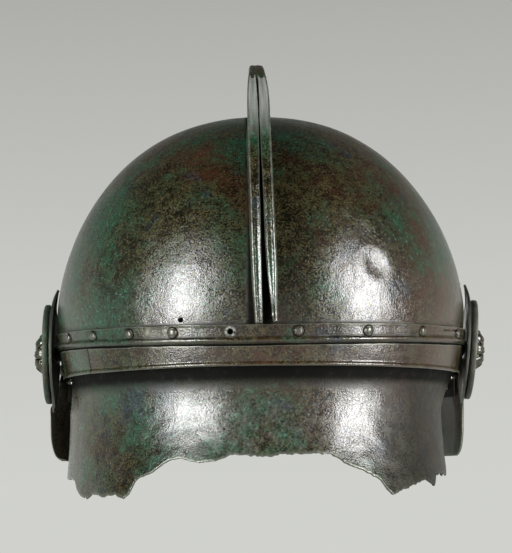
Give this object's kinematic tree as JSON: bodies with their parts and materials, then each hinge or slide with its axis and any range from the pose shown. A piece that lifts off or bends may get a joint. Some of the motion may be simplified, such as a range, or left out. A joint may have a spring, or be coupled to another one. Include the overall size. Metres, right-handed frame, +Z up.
{
  "type": "greek helmet",
  "caption": "Bronze Greek helmet with a slotted crest, riveted girdle, flared neck guard with a broken edge, rosette plaques and hinged cheek pieces.",
  "frame": {"origin": "middle of the head opening, in the plane of the bowl's rim", "axes": "+Z up through the crown, the face looks along -Y, +X is the wearer's left"},
  "size_m": [0.2203, 0.2466, 0.2112],
  "materials": {
    "dark_bronze": "old bronze, dark olive patina, glossy",
    "green_bronze": "old bronze, greener patina, glossy",
    "brown_bronze": "old bronze, brown patina, glossy",
    "worn_bronze": "old bronze, worn on the high spots"
  },
  "bodies": {
    "helmet": {"crown_bowl": "dark_bronze", "crest_wall_left": "dark_bronze", "crest_wall_right": "dark_bronze", "crest_bridge": "brown_bronze", "rivet_strip": "dark_bronze", "fascia_strip_rear": "brown_bronze", "fascia_strip_left": "green_bronze", "neck_guard": "green_bronze", "brow_plate": "dark_bronze", "girdle_rivet_left_1": "worn_bronze", "girdle_rivet_left_2": "worn_bronze", "girdle_rivet_left_3": "worn_bronze", "girdle_rivet_left_4": "worn_bronze", "girdle_rivet_right_1": "worn_bronze", "girdle_rivet_right_2": "worn_bronze", "girdle_rivet_right_3": "worn_bronze", "girdle_rivet_right_4": "worn_bronze", "brow_rivet_middle": "worn_bronze", "brow_rivet_left_1": "worn_bronze", "brow_rivet_left_2": "worn_bronze", "brow_rivet_right_1": "worn_bronze", "brow_rivet_right_2": "worn_bronze", "plaque_backing_left": "dark_bronze", "plaque_backing_right": "dark_bronze", "plaque_disc_left": "green_bronze", "plaque_disc_right": "green_bronze", "rosette_left": "brown_bronze", "rosette_right": "brown_bronze", "plaque_pin_left": "worn_bronze", "plaque_pin_right": "worn_bronze", "plaque_collar_left": "dark_bronze", "plaque_collar_right": "dark_bronze", "hinge_leaf_upper_left": "brown_bronze", "hinge_leaf_upper_right": "brown_bronze", "hinge_pin_left": "worn_bronze", "hinge_pin_right": "worn_bronze", "hinge_rivet_upper_left_1": "worn_bronze", "hinge_rivet_upper_left_2": "worn_bronze", "hinge_rivet_upper_right_1": "worn_bronze", "hinge_rivet_upper_right_2": "worn_bronze"},
    "cheek_left": {"cheek_plate_left": "dark_bronze", "hinge_leaf_lower_left": "brown_bronze", "cheek_rivet_left_1": "worn_bronze", "cheek_rivet_left_2": "worn_bronze"},
    "cheek_right": {"cheek_plate_right": "dark_bronze", "hinge_leaf_lower_right": "brown_bronze", "cheek_rivet_right_1": "worn_bronze", "cheek_rivet_right_2": "worn_bronze"}
  },
  "joints": [
    {"name": "cheek_left_hinge", "type": "hinge", "parent": "helmet", "child": "cheek_left", "pos_m": [0.09398, -0.03845, 0.005], "axis": [-0.3048, -0.9524, 0], "range_deg": [0, 110]},
    {"name": "cheek_right_hinge", "type": "hinge", "parent": "helmet", "child": "cheek_right", "pos_m": [-0.09398, -0.03845, 0.005], "axis": [-0.3048, 0.9524, 0], "range_deg": [0, 110]}
  ]
}
